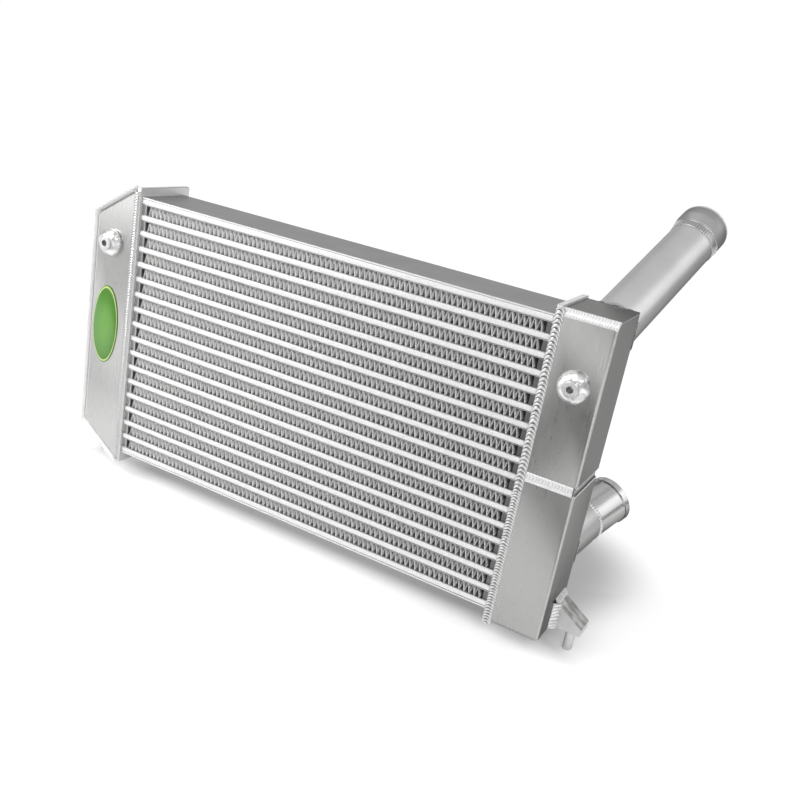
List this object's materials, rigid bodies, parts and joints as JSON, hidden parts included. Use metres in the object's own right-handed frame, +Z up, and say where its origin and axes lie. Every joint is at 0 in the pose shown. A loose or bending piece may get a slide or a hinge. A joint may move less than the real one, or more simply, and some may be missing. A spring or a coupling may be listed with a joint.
{
  "type": "intercooler",
  "caption": "Air-to-air intercooler with a bar-and-plate core, welded aluminium end tanks, two round pipes on the back and locating pegs below.",
  "frame": {"origin": "middle of the left locating peg's shank", "axes": "+X along the core to the tank with the pipes, +Y to the back, +Z up"},
  "size_m": [0.663, 0.2834, 0.4424],
  "materials": {
    "sheet": "rolled, satin",
    "core": "brazed, sandy",
    "fin": "brazed",
    "weld": "rippled weld",
    "badge": "domed, glossy"
  },
  "bodies": {
    "root": {"core_bottom_plate": "core", "core_top_plate": "core", "parting_sheets": "core", "front_bars": "core", "back_bars": "core", "left_closing_bars": "core", "right_closing_bars": "core", "air_fin_01": "fin", "air_fin_02": "fin", "air_fin_03": "fin", "air_fin_04": "fin", "air_fin_05": "fin", "air_fin_06": "fin", "air_fin_07": "fin", "air_fin_08": "fin", "air_fin_09": "fin", "air_fin_10": "fin", "air_fin_11": "fin", "air_fin_12": "fin", "air_fin_13": "fin", "air_fin_14": "fin", "air_fin_15": "fin", "air_fin_16": "fin", "air_fin_17": "fin", "charge_fins": "fin", "left_header_plate": "sheet", "right_header_plate": "sheet", "left_tank_front": "sheet", "left_tank_back": "sheet", "left_tank_wrap": "sheet", "left_tank_bead": "weld", "upper_pipe_bead": "weld", "lower_pipe_bead": "weld", "upper_tank_bead": "weld", "upper_tank": "sheet", "upper_tank_lid": "sheet", "lower_tank": "sheet", "divider_plate": "sheet", "seam_bead": "weld", "left_front_bead": "weld", "right_front_bead": "weld", "left_back_bead": "weld", "right_back_bead": "weld", "left_boss": "sheet", "left_boss_bead": "weld", "right_boss": "sheet", "right_boss_bead": "weld", "upper_pipe": "sheet", "upper_pipe_end": "sheet", "lower_pipe_root": "sheet", "lower_pipe_outlet": "sheet", "lower_mitre_bead": "weld", "right_bracket": "sheet", "left_bracket": "sheet", "right_bracket_bead": "weld", "left_bracket_bead": "weld", "left_peg": "sheet", "right_peg": "sheet", "badge": "badge"}
  },
  "joints": []
}
